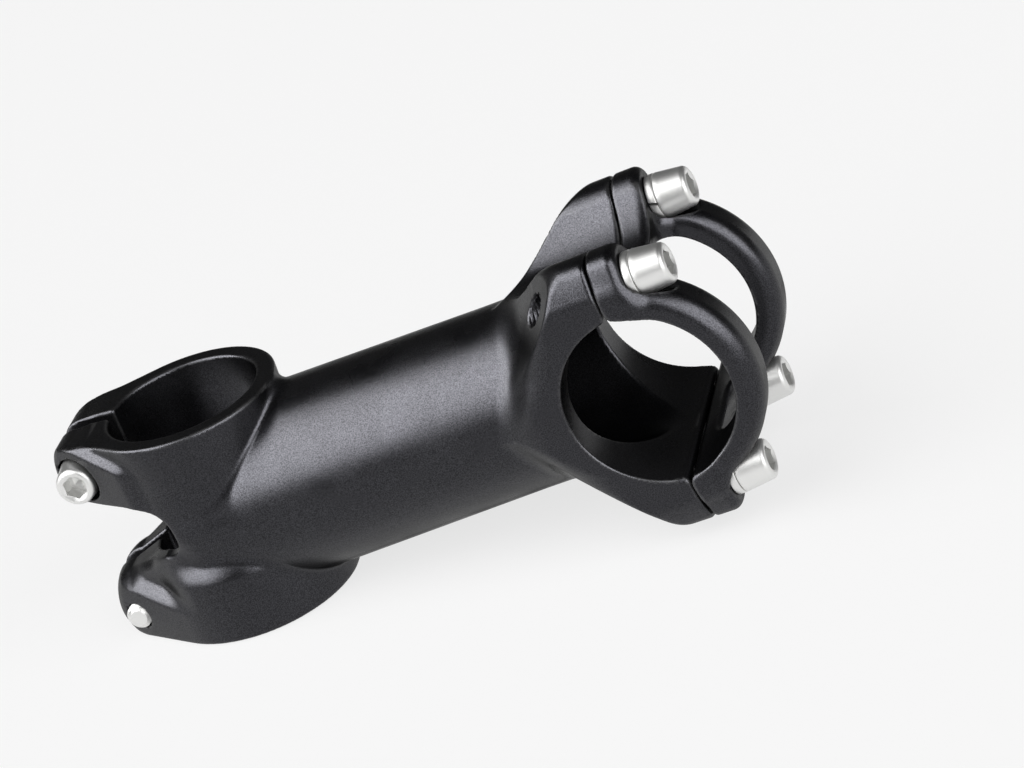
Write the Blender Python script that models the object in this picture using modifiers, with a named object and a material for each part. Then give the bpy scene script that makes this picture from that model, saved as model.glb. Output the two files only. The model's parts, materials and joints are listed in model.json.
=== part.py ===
"""Threadless handlebar stem: a forged body, a windowed faceplate, and their bolts and split washers.

Units are metres and +Z is up, along the steerer tube. The origin is where the extension's axis
crosses the steerer's axis. +X points forward, to the handlebar, and -Y is the near side.
The extension's own frame has its X along the extension, which rises from the steerer by RISE_ANGLE.
"""
import math

import bmesh
import bpy
from mathutils import Vector

MM = 0.001

# What the stem clamps, and how far apart
STEERER_DIAMETER = 28.6 * MM
BAR_DIAMETER = 31.8 * MM
EXTENSION_LENGTH = 90.0 * MM
RISE_ANGLE = math.radians(7.0)

# Clearances between pieces
FIT_GAP = 0.3 * MM
POCKET_GAP = 0.5 * MM

# Bolts and washers: the pinch bolts are longer, and otherwise all are of one kind
THREAD_DIAMETER = 5.0 * MM
FACEPLATE_BOLT_LENGTH = 16.0 * MM
PINCH_BOLT_LENGTH = 18.0 * MM
TIP_CHAMFER = 0.5 * MM
HEAD_BASE_DIAMETER = 8.4 * MM
HEAD_END_DIAMETER = 7.1 * MM
HEAD_LENGTH = 5.9 * MM
HEAD_EDGE = 0.5 * MM
SOCKET_ACROSS_FLATS = 4.0 * MM
SOCKET_DEPTH = 3.2 * MM
WASHER_DIAMETER = 8.8 * MM
WASHER_THICKNESS = 0.9 * MM
WASHER_SPLIT = 0.6 * MM
WASHER_SPLIT_SLANT = math.radians(35.0)

# Steerer clamp: a waisted collar with a flared skirt, and two split lugs that swell round their bolts
COLLAR_WALL = 3.6 * MM
COLLAR_ABOVE = 22.4 * MM
COLLAR_BELOW = 18.4 * MM
COLLAR_EDGE = 0.6 * MM
WAIST_DEPTH = 0.4 * MM
WAIST_BELOW_TOP = 12.0 * MM
SKIRT_FLARE = 1.4 * MM
SKIRT_BELOW_AXIS = 1.5 * MM
SKIRT_HEIGHT = 5.5 * MM
SLIT_WIDTH = 3.0 * MM
LUG_RADIUS = 8.6 * MM
UPPER_LUG_SWELL = 2.0 * MM
LOWER_LUG_SWELL = 0.7 * MM
LUG_SWELL_REACH = 7.0 * MM
LUG_BEHIND_BOLT = 5.9 * MM
PINCH_SETBACK = 6.2 * MM
PINCH_BELOW_TOP = 6.8 * MM
PINCH_ABOVE_BOTTOM = 4.8 * MM
PINCH_SEAT = 5.2 * MM

# The round-ended notch that parts the upper lug from the lower one
NOTCH_APEX_BEHIND_AXIS = 4.0 * MM
NOTCH_ROOF_BELOW_BOLT = 5.4 * MM
NOTCH_ROOF_LENGTH = 8.5 * MM
NOTCH_ROOF_DROP = 7.2 * MM
NOTCH_FLOOR_LENGTH = 4.5 * MM
NOTCH_FLOOR_DROP = 3.8 * MM
LOWER_LUG_HALF_LENGTH = 6.5 * MM
LOWER_LUG_HALF_HEIGHT = 7.6 * MM

# Extension: a tapered tube, hollow from the bar end
TUBE_REAR_DIAMETER = 34.9 * MM
TUBE_FRONT_DIAMETER = 33.7 * MM
TUBE_TAPER_START = 20.0 * MM
TUBE_TAPER_END = 60.0 * MM
TOP_FILLET_RISE = 1.9 * MM
TOP_FILLET_LENGTH = 7.0 * MM
HOLLOW_MOUTH_DIAMETER = 30.4 * MM
HOLLOW_INNER_DIAMETER = 26.6 * MM
HOLLOW_TAPER_LENGTH = 30.0 * MM
HOLLOW_END_WALL = 6.0 * MM
HOLLOW_END_ROUND = 4.0 * MM

# Bar clamp: a cradle with four ears, and the faceplate's matching half
CLAMP_WIDTH = 40.8 * MM
BOLT_SPACING_ACROSS = 29.5 * MM
BOLT_OFF_BAR = 4.1 * MM
EAR_CREST = 6.4 * MM
SHOULDER_ABOVE_BOLT = 0.5 * MM
SHOULDER_RISE = 4.0 * MM
SHOULDER_LEAN = math.radians(18.7)
VALLEY_WALL = 2.0 * MM
PARTING_SETBACK = 1.4 * MM
SWELL_END = 20.0 * MM
SWELL_LENGTH = 17.0 * MM
SWELL_SINK = 3.5 * MM
SWELL_ROUND = 3.5 * MM
SIDE_ROUND = 3.0 * MM
SIDE_ROUND_END = 0.5
EAR_BACK_SETBACK = 10.95 * MM
EAR_BACK_LEAN_OUT = 0.53
EAR_BACK_LEAN_UP = 0.85
CLAMPED_GAP = 2.6 * MM
FACEPLATE_EAR_DEPTH = 5.3 * MM
ARCH_THICKNESS = 4.8 * MM
ARCH_WIDTH = 9.7 * MM
ARCH_ROUND = 2.8 * MM
ARCH_INSET = 0.2 * MM
WINDOW_END_ANGLE = math.radians(69.0)
WINDOW_CORNER_ANGLE = math.radians(17.0)
WINDOW_CORNER_WIDTH = 5.0 * MM
WINDOW_TRIM = 0.1 * MM

# How finely round forms are divided
ROUND_STEPS = 64
BOLT_STEPS = 24
CORNER_STEPS = 8
LOFT_STEPS = 10
COLLAR_STEPS = 16
FLANK_STEPS = 6
CREST_STEPS = 4
SIDE_STEPS = 12
VALLEY_STEPS = 6
HALVINGS = 40
MERGE_DISTANCE = 0.0001 * MM
SMOOTH_ANGLE = math.radians(32.0)

# Finishes
BLACK = (0.012, 0.012, 0.013)
BLACK_ROUGHNESS = 0.42
BOLT_SILVER = (0.72, 0.72, 0.71)
BOLT_ROUGHNESS = 0.32
WASHER_SILVER = (0.66, 0.66, 0.65)
WASHER_ROUGHNESS = 0.38

# Sizes that follow from those above
STEERER_RADIUS = STEERER_DIAMETER / 2
BAR_RADIUS = BAR_DIAMETER / 2
COLLAR_RADIUS = STEERER_RADIUS + COLLAR_WALL
PINCH_X = -(STEERER_RADIUS + PINCH_SETBACK)
PINCH_UPPER_Z = COLLAR_ABOVE - PINCH_BELOW_TOP
PINCH_LOWER_Z = PINCH_ABOVE_BOTTOM - COLLAR_BELOW
LUG_CENTRE_X = PINCH_X - LUG_BEHIND_BOLT + LUG_RADIUS
HOLE_RADIUS = THREAD_DIAMETER / 2 + FIT_GAP
POCKET_RADIUS = max(WASHER_DIAMETER, HEAD_BASE_DIAMETER) / 2 + POCKET_GAP
EAR_HALF_WIDTH = (CLAMP_WIDTH - BOLT_SPACING_ACROSS) / 2
EAR_Y = BOLT_SPACING_ACROSS / 2
EAR_Z = BAR_RADIUS + BOLT_OFF_BAR
CREST_Z = EAR_Z + EAR_CREST
VALLEY_Z = BAR_RADIUS + VALLEY_WALL
FACEPLATE_BACK = FIT_GAP - PARTING_SETBACK
FACEPLATE_SEAT = FACEPLATE_BACK + FACEPLATE_EAR_DEPTH
ARCH_RADIUS = BAR_RADIUS + ARCH_THICKNESS
HEAD_STAND_OFF = FIT_GAP + WASHER_THICKNESS + FIT_GAP


def clear_scene():
    """Remove whatever the scene holds."""
    for item in list(bpy.data.objects):
        bpy.data.objects.remove(item, do_unlink=True)


def new_collection(name):
    collection = bpy.data.collections.new(name)
    bpy.context.scene.collection.children.link(collection)
    return collection


clear_scene()
PARTS = new_collection("handlebar_stem")
CUTTERS = new_collection("handlebar_stem_cutters")


def new_empty(name, location, rotation):
    empty = bpy.data.objects.new(name, None)
    empty.location = location
    empty.rotation_euler = rotation
    CUTTERS.objects.link(empty)
    return empty


# The extension's frame: its X runs along the extension, up from the steerer to the bar
EXTENSION_FRAME = new_empty("extension_frame", (0, 0, 0), (0, -RISE_ANGLE, 0))


def metal(name, colour, roughness):
    material = bpy.data.materials.new(name)
    material.use_nodes = True
    shader = material.node_tree.nodes["Principled BSDF"]
    shader.inputs["Base Color"].default_value = (*colour, 1.0)
    shader.inputs["Roughness"].default_value = roughness
    shader.inputs["Metallic"].default_value = 1.0
    return material


def add_mesh(name, mesh, frame=None, location=(0, 0, 0), rotation=(0, 0, 0)):
    """Make a working solid from a mesh. It stays a hidden cutter until finish_part makes it a part."""
    solid = bpy.data.objects.new(name, mesh)
    solid.location = location
    solid.rotation_euler = rotation
    solid.parent = frame
    solid.hide_render = True
    solid.display_type = "WIRE"
    CUTTERS.objects.link(solid)
    return solid


def finish_part(solid, material):
    """Turn a working solid into a named part with its material and smooth shading."""
    CUTTERS.objects.unlink(solid)
    PARTS.objects.link(solid)
    solid.hide_render = False
    solid.display_type = "TEXTURED"
    solid.data.materials.clear()
    solid.data.materials.append(material)
    solid.data.shade_smooth()
    solid.data.set_sharp_from_angle(angle=SMOOTH_ANGLE)
    return solid


def combine(target, other, operation):
    """Cut, join or keep the common volume of two solids with a Boolean modifier."""
    modifier = target.modifiers.new(f"{operation.lower()}_{other.name}", "BOOLEAN")
    modifier.operation = operation
    modifier.solver = "EXACT"
    modifier.object = other


def cut(target, other):
    combine(target, other, "DIFFERENCE")


def join(target, other):
    combine(target, other, "UNION")


def primitive(name, create, frame=None, location=(0, 0, 0), rotation=(0, 0, 0)):
    """Make a working solid from one of bmesh's primitives."""
    shape = bmesh.new()
    create(shape)
    mesh = bpy.data.meshes.new(name)
    shape.to_mesh(mesh)
    shape.free()
    return add_mesh(name, mesh, frame, location, rotation)


def rod(name, radius, low, high, frame=None, location=(0, 0, 0), rotation=(0, 0, 0), sides=BOLT_STEPS):
    """A cylinder about its own Z, from low to high."""
    def create(shape):
        bmesh.ops.create_cone(shape, cap_ends=True, segments=sides, radius1=radius, radius2=radius,
                              depth=high - low)
        bmesh.ops.translate(shape, verts=shape.verts, vec=(0, 0, (low + high) / 2))
    return primitive(name, create, frame, location, rotation)


def block(name, low, high, frame=None):
    """A box between two corners."""
    size = Vector(high) - Vector(low)
    middle = (Vector(high) + Vector(low)) / 2

    def create(shape):
        bmesh.ops.create_cube(shape, size=1.0)
        bmesh.ops.scale(shape, verts=shape.verts, vec=size)
        bmesh.ops.translate(shape, verts=shape.verts, vec=middle)
    return primitive(name, create, frame)


def turned(name, profile, steps, closed=False, frame=None, location=(0, 0, 0), rotation=(0, 0, 0)):
    """Turn a profile of (radius, z) points, run down its outer side, about Z."""
    mesh = bpy.data.meshes.new(name)
    points = [(radius, 0, z) for radius, z in profile]
    edges = [(i, i + 1) for i in range(len(points) - 1)]
    if closed:
        edges.append((len(points) - 1, 0))
    mesh.from_pydata(points, edges, [])
    solid = add_mesh(name, mesh, frame, location, rotation)
    screw = solid.modifiers.new("turn", "SCREW")
    screw.steps = steps
    screw.render_steps = steps
    screw.use_merge_vertices = True
    screw.merge_threshold = MERGE_DISTANCE
    return solid


def extruded(name, outline, half_depth, frame=None, location=(0, 0, 0), rotation=(0, 0, 0)):
    """Extrude a flat outline both ways along its own Z, and make it a mesh."""
    curve = bpy.data.curves.new(name + "_outline", "CURVE")
    curve.dimensions = "2D"
    curve.fill_mode = "BOTH"
    curve.extrude = half_depth
    spline = curve.splines.new("POLY")
    spline.points.add(len(outline) - 1)
    spline.use_cyclic_u = True
    for point, (x, y) in zip(spline.points, outline):
        point.co = (x, y, 0, 1)
    holder = bpy.data.objects.new(name + "_outline", curve)
    CUTTERS.objects.link(holder)
    bpy.context.view_layer.update()
    evaluated = holder.evaluated_get(bpy.context.evaluated_depsgraph_get())
    mesh = bpy.data.meshes.new_from_object(evaluated)
    bpy.data.objects.remove(holder, do_unlink=True)
    shape = bmesh.new()
    shape.from_mesh(mesh)
    bmesh.ops.remove_doubles(shape, verts=shape.verts, dist=MERGE_DISTANCE)
    bmesh.ops.recalc_face_normals(shape, faces=shape.faces)
    shape.to_mesh(mesh)
    shape.free()
    return add_mesh(name, mesh, frame, location, rotation)


def lofted(name, rings, frame=None):
    """Skin a row of rings that have equal counts of points, and cap both ends."""
    shape = bmesh.new()
    rows = [[shape.verts.new(point) for point in ring] for ring in rings]
    count = len(rows[0])
    for row, following in zip(rows, rows[1:]):
        for i in range(count):
            j = (i + 1) % count
            shape.faces.new((row[i], row[j], following[j], following[i]))
    shape.faces.new(reversed(rows[0]))
    shape.faces.new(rows[-1])
    bmesh.ops.recalc_face_normals(shape, faces=shape.faces)
    mesh = bpy.data.meshes.new(name)
    shape.to_mesh(mesh)
    shape.free()
    return add_mesh(name, mesh, frame)


def arc(centre, radii, start, end, steps):
    """Points on an elliptical arc between two angles, both ends included."""
    points = []
    for i in range(steps + 1):
        angle = start + (end - start) * i / steps
        points.append((centre[0] + radii[0] * math.cos(angle), centre[1] + radii[1] * math.sin(angle)))
    return points


def smooth_step(value):
    value = min(1.0, max(0.0, value))
    return value * value * (3 - 2 * value)


def soft_max(a, b, width):
    """The larger of two values, with a smooth change between them where they differ by less than a width."""
    overlap = max(0.0, width - abs(a - b))
    if overlap == 0:
        return max(a, b)
    return max(a, b) + overlap * overlap / (4 * width)


def mix(low, high, share):
    return low + (high - low) * share


def teardrop(grow, lug_grow):
    """The collar's plan: the hull of the steerer's circle and the lugs' circle, grown by margins."""
    front = COLLAR_RADIUS + grow
    rear = LUG_RADIUS + grow + lug_grow
    tangent = math.pi / 2 + math.asin((front - rear) / -LUG_CENTRE_X)
    collar = arc((0, 0), (front, front), -tangent, tangent, ROUND_STEPS * 2 // 3)
    lugs = arc((LUG_CENTRE_X, 0), (rear, rear), tangent, 2 * math.pi - tangent, ROUND_STEPS // 3)
    return collar + flank(collar[-1], lugs[0]) + lugs + flank(lugs[-1], collar[0])


def flank(start, end):
    """Points between the two ends of a straight flank, which are left out."""
    shares = [i / FLANK_STEPS for i in range(1, FLANK_STEPS)]
    return [(mix(start[0], end[0], share), mix(start[1], end[1], share)) for share in shares]


def lug_swell(z):
    """How much further the lugs reach out at a height: most at the two bolts."""
    upper = UPPER_LUG_SWELL * smooth_step(1 - abs(z - PINCH_UPPER_Z) / LUG_SWELL_REACH)
    lower = LOWER_LUG_SWELL * smooth_step(1 - abs(z - PINCH_LOWER_Z) / LUG_SWELL_REACH)
    return upper + lower


def collar_solid():
    """The collar and lugs, drawn in at the waist and flared below, with a small bevel at both ends."""
    low = COLLAR_EDGE - COLLAR_BELOW
    high = COLLAR_ABOVE - COLLAR_EDGE
    levels = [(-COLLAR_BELOW, -COLLAR_EDGE)]
    levels += [(mix(low, high, i / COLLAR_STEPS), 0) for i in range(COLLAR_STEPS + 1)]
    levels.append((COLLAR_ABOVE, -COLLAR_EDGE))
    rings = []
    for z, inset in levels:
        waist = WAIST_DEPTH * smooth_step((COLLAR_ABOVE - z) / WAIST_BELOW_TOP)
        skirt = SKIRT_FLARE * smooth_step((-SKIRT_BELOW_AXIS - z) / SKIRT_HEIGHT)
        rings.append([(x, y, z) for x, y in teardrop(skirt - waist + inset, lug_swell(z))])
    return lofted("stem_body", rings)


def lug_profile():
    """The lugs' side view: two rounded lobes with the notch between them, as (x, z) points."""
    ahead = 2 * COLLAR_RADIUS
    roof = PINCH_UPPER_Z - NOTCH_ROOF_BELOW_BOLT
    apex = -NOTCH_APEX_BEHIND_AXIS
    apex_z = roof - NOTCH_ROOF_DROP
    floor_x = apex - NOTCH_FLOOR_LENGTH
    # Upper lobe: an oval about the upper bolt, from the top face to the notch's roof
    upper = (LUG_BEHIND_BOLT, PINCH_BELOW_TOP)
    roof_angle = math.pi + math.asin(NOTCH_ROOF_BELOW_BOLT / PINCH_BELOW_TOP)
    points = [(ahead, -COLLAR_BELOW), (ahead, COLLAR_ABOVE)]
    points += arc((PINCH_X, PINCH_UPPER_Z), upper, math.pi / 2, roof_angle, CORNER_STEPS)
    # The notch's end: a long roof arc and a short floor arc that meet at the apex
    points += arc((apex - NOTCH_ROOF_LENGTH, apex_z), (NOTCH_ROOF_LENGTH, NOTCH_ROOF_DROP),
                  math.pi / 2, 0, CORNER_STEPS)
    points += arc((floor_x, apex_z), (NOTCH_FLOOR_LENGTH, NOTCH_FLOOR_DROP), 0, -math.pi / 2,
                  CORNER_STEPS)[1:]
    # Lower lobe: an oval about the lower bolt, from the notch's floor to the bottom face
    lower = (LOWER_LUG_HALF_LENGTH, LOWER_LUG_HALF_HEIGHT)
    bottom_angle = math.pi + math.asin(PINCH_ABOVE_BOTTOM / LOWER_LUG_HALF_HEIGHT)
    points += arc((PINCH_X, PINCH_LOWER_Z), lower, math.pi / 2, bottom_angle, CORNER_STEPS)
    return points


def clamp_section():
    """One quarter of the bar clamp's front view, from its side to its middle, as (y, z) points."""
    def ear(angle):
        return EAR_Y + EAR_HALF_WIDTH * math.cos(angle), EAR_Z + EAR_CREST * math.sin(angle)

    def misfit(angle):
        # Slope of the ear's curve there, less that of a parabola from the valley's middle
        y, z = ear(angle)
        ear_slope = -EAR_CREST / (EAR_HALF_WIDTH * math.tan(angle))
        return ear_slope - 2 * (z - VALLEY_Z) / y

    # Halve the range of angles until the two slopes agree
    low, high = math.pi / 2, math.pi
    for _ in range(HALVINGS):
        middle = (low + high) / 2
        if misfit(middle) < 0:
            low = middle
        else:
            high = middle
    # The upright side, a flat shoulder that leans in, and a curve from it over the crest
    side = CLAMP_WIDTH / 2
    shoulder_z = EAR_Z + SHOULDER_ABOVE_BOLT
    points = [(side, shoulder_z * i / SIDE_STEPS) for i in range(SIDE_STEPS + 1)]
    bend_from = (side - SHOULDER_RISE * math.tan(SHOULDER_LEAN), shoulder_z + SHOULDER_RISE)
    corner = (side - (CREST_Z - shoulder_z) * math.tan(SHOULDER_LEAN), CREST_Z)
    points += bend(bend_from, corner, (EAR_Y, CREST_Z), CREST_STEPS)
    # The ear's inner side, and the valley's parabola
    crest_angle = math.pi / 2
    points += [ear(mix(crest_angle, low, i / CREST_STEPS)) for i in range(1, CREST_STEPS + 1)]
    join_y, join_z = points[-1]
    rise = (join_z - VALLEY_Z) / (join_y * join_y)
    for i in reversed(range(VALLEY_STEPS)):
        y = join_y * i / VALLEY_STEPS
        points.append((y, VALLEY_Z + rise * y * y))
    return points


def bend(start, corner, end, steps):
    """Points on the curve that leaves its start towards a corner and comes to its end from there."""
    points = []
    for i in range(steps + 1):
        share = i / steps
        weights = ((1 - share) ** 2, 2 * share * (1 - share), share ** 2)
        points.append(tuple(sum(w * p for w, p in zip(weights, at)) for at in zip(start, corner, end)))
    return points


def all_quarters(quarter):
    """Mirror a quarter outline, side to top, into the whole closed outline."""
    top_left = [(-y, z) for y, z in reversed(quarter[:-1])]
    low_left = [(-y, -z) for y, z in quarter[1:]]
    low_right = [(y, -z) for y, z in reversed(quarter[1:-1])]
    return quarter + top_left + low_left + low_right


CLAMP_OUTLINE = all_quarters(clamp_section())


def tube_radius(along):
    """Radius of the extension at a distance from the steerer's axis."""
    share = (along - TUBE_TAPER_START) / (TUBE_TAPER_END - TUBE_TAPER_START)
    share = min(1.0, max(0.0, share))
    return mix(TUBE_REAR_DIAMETER, TUBE_FRONT_DIAMETER, share) / 2


def ear_back(y, z):
    """Where an ear's flat back stands, forward of the bar's axis, at a point of the clamp's front view."""
    outward = EAR_BACK_LEAN_OUT * (abs(y) - CLAMP_WIDTH / 2)
    upward = EAR_BACK_LEAN_UP * (abs(z) - EAR_Z)
    return outward + upward - EAR_BACK_SETBACK


def clamp_reach(along, y, z):
    """How far the clamp's block reaches off the axis, in the direction of a point of its front view.

    The block swells towards the bar, and each ear is cut off behind by a flat that leans outward and up.
    The edge between the two is sharp at the ears and round at the sides.
    """
    from_bar = along - EXTENSION_LENGTH
    clamp = math.hypot(y, z)
    share = smooth_step((from_bar + SWELL_END) / SWELL_LENGTH + 1)
    swell = mix(tube_radius(along) - SWELL_SINK, clamp, share)
    lean = (EAR_BACK_LEAN_OUT * abs(y) + EAR_BACK_LEAN_UP * abs(z)) / clamp
    back = (from_bar - ear_back(0, 0)) / lean
    rounding = SIDE_ROUND * smooth_step(2 - 2 * abs(z) / clamp / SIDE_ROUND_END)
    return -soft_max(-swell, -back, rounding)


def extension_point(along, y, z):
    """A point of the extension's skin, in the direction of a point of the clamp's front view.

    At the steerer's end a fillet lifts the tube's top to the collar.
    """
    clamp = math.hypot(y, z)
    across, up = y / clamp, z / clamp
    fillet = TOP_FILLET_RISE * smooth_step(1 - (along - COLLAR_RADIUS) / TOP_FILLET_LENGTH)
    tube = tube_radius(along) + fillet * max(0.0, up) ** 2
    rounding = SWELL_ROUND * smooth_step((EXTENSION_LENGTH - along) / SWELL_END)
    reach = soft_max(tube, clamp_reach(along, y, z), rounding)
    return along, reach * across, reach * up


def swell_places(y, z):
    """Places along the extension, in the direction of a point of the clamp's front view.

    They run from where the swell starts to where it is full, and one is where it leaves the tube.
    """
    start = EXTENSION_LENGTH - SWELL_END - SWELL_LENGTH
    end = EXTENSION_LENGTH + max(-SWELL_END, ear_back(y, z))
    low, high = start, end
    for _ in range(HALVINGS):
        middle = (low + high) / 2
        if clamp_reach(middle, y, z) < tube_radius(middle):
            low = middle
        else:
            high = middle
    within_tube = [mix(start, low, i / LOFT_STEPS) for i in range(LOFT_STEPS)]
    return within_tube + [mix(low, end, i / LOFT_STEPS) for i in range(LOFT_STEPS + 1)]


def extension_solid():
    """The extension and the bar cradle, from the steerer's axis to the parting face."""
    fillet_steps = CORNER_STEPS // 2
    places = [0.0]
    places += [COLLAR_RADIUS + TOP_FILLET_LENGTH * i / fillet_steps for i in range(fillet_steps + 1)]
    rings = [[extension_point(along, y, z) for y, z in CLAMP_OUTLINE] for along in places]
    # The rings then bend, to lie on the edges where the ears leave the tube and where their backs end
    columns = [[extension_point(along, y, z) for along in swell_places(y, z)] for y, z in CLAMP_OUTLINE]
    rings += list(zip(*columns))
    rings.append([(EXTENSION_LENGTH - PARTING_SETBACK, y, z) for y, z in CLAMP_OUTLINE])
    return lofted("extension", rings, EXTENSION_FRAME)


def hollow_solid():
    """The extension's hollow, open into the bar's bore and closed behind the steerer's bore."""
    start = STEERER_RADIUS + HOLLOW_END_WALL
    mouth = EXTENSION_LENGTH - PARTING_SETBACK - FIT_GAP
    inner = HOLLOW_INNER_DIAMETER / 2
    profile = [(0, mouth), (HOLLOW_MOUTH_DIAMETER / 2, mouth), (inner, mouth - HOLLOW_TAPER_LENGTH)]
    profile += arc((inner - HOLLOW_END_ROUND, start + HOLLOW_END_ROUND),
                   (HOLLOW_END_ROUND, HOLLOW_END_ROUND), 0, -math.pi / 2, CORNER_STEPS // 2)
    profile.append((0, start))
    return turned("hollow", profile, ROUND_STEPS // 2, frame=EXTENSION_FRAME, rotation=(0, math.pi / 2, 0))


def bar_bore(name, shift):
    """The handlebar's bore, across the clamp, moved along the extension by a shift."""
    return rod(name, BAR_RADIUS, -CLAMP_WIDTH, CLAMP_WIDTH, EXTENSION_FRAME,
               (EXTENSION_LENGTH + shift, 0, 0), (math.pi / 2, 0, 0), ROUND_STEPS)


def ear_places():
    """Name, y and z of each faceplate bolt."""
    for height, z in (("top", EAR_Z), ("low", -EAR_Z)):
        for side, y in (("near", -EAR_Y), ("far", EAR_Y)):
            yield f"{side}_{height}", y, z


def along_bolt(name, radius, low, high, y, z):
    """A rod on a faceplate bolt's axis, between two places measured forward from the bar's centre."""
    return rod(name, radius, low, high, EXTENSION_FRAME, (EXTENSION_LENGTH, y, z), (0, math.pi / 2, 0))


def pinch_places():
    """Name, height and outward direction of each pinch bolt's head."""
    yield "upper", PINCH_UPPER_Z, -1
    yield "lower", PINCH_LOWER_Z, 1


def pinch_frame(name, z, side):
    """A frame on a pinch bolt's axis, its Z pointing out of the head."""
    return new_empty(f"pinch_frame_{name}", (PINCH_X, 0, z), (-side * math.pi / 2, 0, 0))


def build_body(material):
    """The forged body: collar and lugs, extension and cradle, then every bore, slit and hole."""
    body = collar_solid()
    lugs = extruded("lug_side_view", lug_profile(), 2 * COLLAR_RADIUS, rotation=(math.pi / 2, 0, 0))
    combine(body, lugs, "INTERSECT")
    join(body, extension_solid())
    cut(body, hollow_solid())
    cut(body, rod("steerer_bore", STEERER_RADIUS, -2 * COLLAR_BELOW, 2 * COLLAR_ABOVE, sides=ROUND_STEPS))
    cut(body, bar_bore("cradle_bore", 0))
    cut(body, block("slit", (2 * PINCH_X, -SLIT_WIDTH / 2, -2 * COLLAR_BELOW),
                    (-STEERER_RADIUS / 2, SLIT_WIDTH / 2, 2 * COLLAR_ABOVE)))
    for name, y, z in ear_places():
        cut(body, along_bolt(f"ear_hole_{name}", HOLE_RADIUS, -SWELL_END, 0, y, z))
    for name, z, side in pinch_places():
        frame = pinch_frame(name, z, side)
        cut(body, rod(f"pinch_hole_{name}", HOLE_RADIUS, -COLLAR_RADIUS, COLLAR_RADIUS, frame))
        cut(body, rod(f"pinch_pocket_{name}", POCKET_RADIUS, PINCH_SEAT, 2 * COLLAR_RADIUS, frame))
    return finish_part(body, material)


def arch_solid(name, side):
    """One of the faceplate's arches, turned about the bar's axis with rounded outer edges."""
    outer = CLAMP_WIDTH / 2 - ARCH_INSET
    inner = outer - ARCH_WIDTH
    low_radius = BAR_RADIUS - ARCH_THICKNESS / 2
    rounds = (ARCH_ROUND, ARCH_ROUND)
    round_centre = ARCH_RADIUS - ARCH_ROUND
    steps = CORNER_STEPS // 2
    profile = [(low_radius, outer)]
    profile += arc((round_centre, outer - ARCH_ROUND), rounds, math.pi / 2, 0, steps)
    profile += arc((round_centre, inner + ARCH_ROUND), rounds, 0, -math.pi / 2, steps)
    profile.append((low_radius, inner))
    # A half step of turn keeps its facets off those of the bore
    half_step = math.pi / ROUND_STEPS
    return turned(name, profile, ROUND_STEPS, True, EXTENSION_FRAME,
                  (EXTENSION_LENGTH - CLAMPED_GAP, 0, 0), (-side * math.pi / 2, half_step, 0))


def window_solid():
    """The window's cutter: a round-cornered opening whose end walls point at the bar's axis."""
    half_width = CLAMP_WIDTH / 2 - ARCH_INSET - ARCH_WIDTH + WINDOW_TRIM
    corner = arc((half_width - WINDOW_CORNER_WIDTH, WINDOW_END_ANGLE - WINDOW_CORNER_ANGLE),
                 (WINDOW_CORNER_WIDTH, WINDOW_CORNER_ANGLE), 0, math.pi / 2, CORNER_STEPS)
    left = [(-y, angle) for y, angle in reversed(corner)]
    outline = corner + left + [(-y, -angle) for y, angle in corner + left]
    centre = EXTENSION_LENGTH - CLAMPED_GAP
    rings = [[(centre + ahead, y, ahead * math.tan(angle)) for y, angle in outline]
             for ahead in (FIT_GAP, 2 * ARCH_RADIUS)]
    return lofted("window", rings, EXTENSION_FRAME)


def build_faceplate(material):
    """The front half of the bar clamp: ears and bridges in one slab, and the two arches."""
    back = EXTENSION_LENGTH + FACEPLATE_BACK
    seat = EXTENSION_LENGTH + FACEPLATE_SEAT
    rings = [[(along, y, z) for y, z in CLAMP_OUTLINE] for along in (back - CLAMPED_GAP, seat)]
    plate = lofted("faceplate", rings, EXTENSION_FRAME)
    for name, side in (("arch_near", -1), ("arch_far", 1)):
        join(plate, arch_solid(name, side))
    cut(plate, block("behind_faceplate", (0, -CLAMP_WIDTH, -2 * CREST_Z), (back, CLAMP_WIDTH, 2 * CREST_Z),
                     EXTENSION_FRAME))
    cut(plate, bar_bore("faceplate_bore", -CLAMPED_GAP))
    cut(plate, window_solid())
    for name, y, z in ear_places():
        cut(plate, along_bolt(f"spotface_{name}", POCKET_RADIUS, FACEPLATE_SEAT, 2 * ARCH_RADIUS, y, z))
        cut(plate, along_bolt(f"plate_hole_{name}", HOLE_RADIUS, -ARCH_RADIUS, ARCH_RADIUS, y, z))
    return finish_part(plate, material)


def build_bolt(name, length, frame, location, rotation, material):
    """A socket bolt about its own Z, with its head's underside at z = 0."""
    shank = THREAD_DIAMETER / 2
    base = HEAD_BASE_DIAMETER / 2
    end = HEAD_END_DIAMETER / 2
    profile = [(0, HEAD_LENGTH), (end - HEAD_EDGE, HEAD_LENGTH), (end, HEAD_LENGTH - HEAD_EDGE),
               (base, HEAD_EDGE), (base - HEAD_EDGE, 0), (shank, 0), (shank, TIP_CHAMFER - length),
               (shank - TIP_CHAMFER, -length), (0, -length)]
    bolt = turned(name, profile, BOLT_STEPS, frame=frame, location=location, rotation=rotation)
    socket = rod(f"socket_{name}", SOCKET_ACROSS_FLATS / math.sqrt(3), HEAD_LENGTH - SOCKET_DEPTH,
                 2 * HEAD_LENGTH, bolt, sides=6)
    cut(bolt, socket)
    return finish_part(bolt, material)


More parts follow.
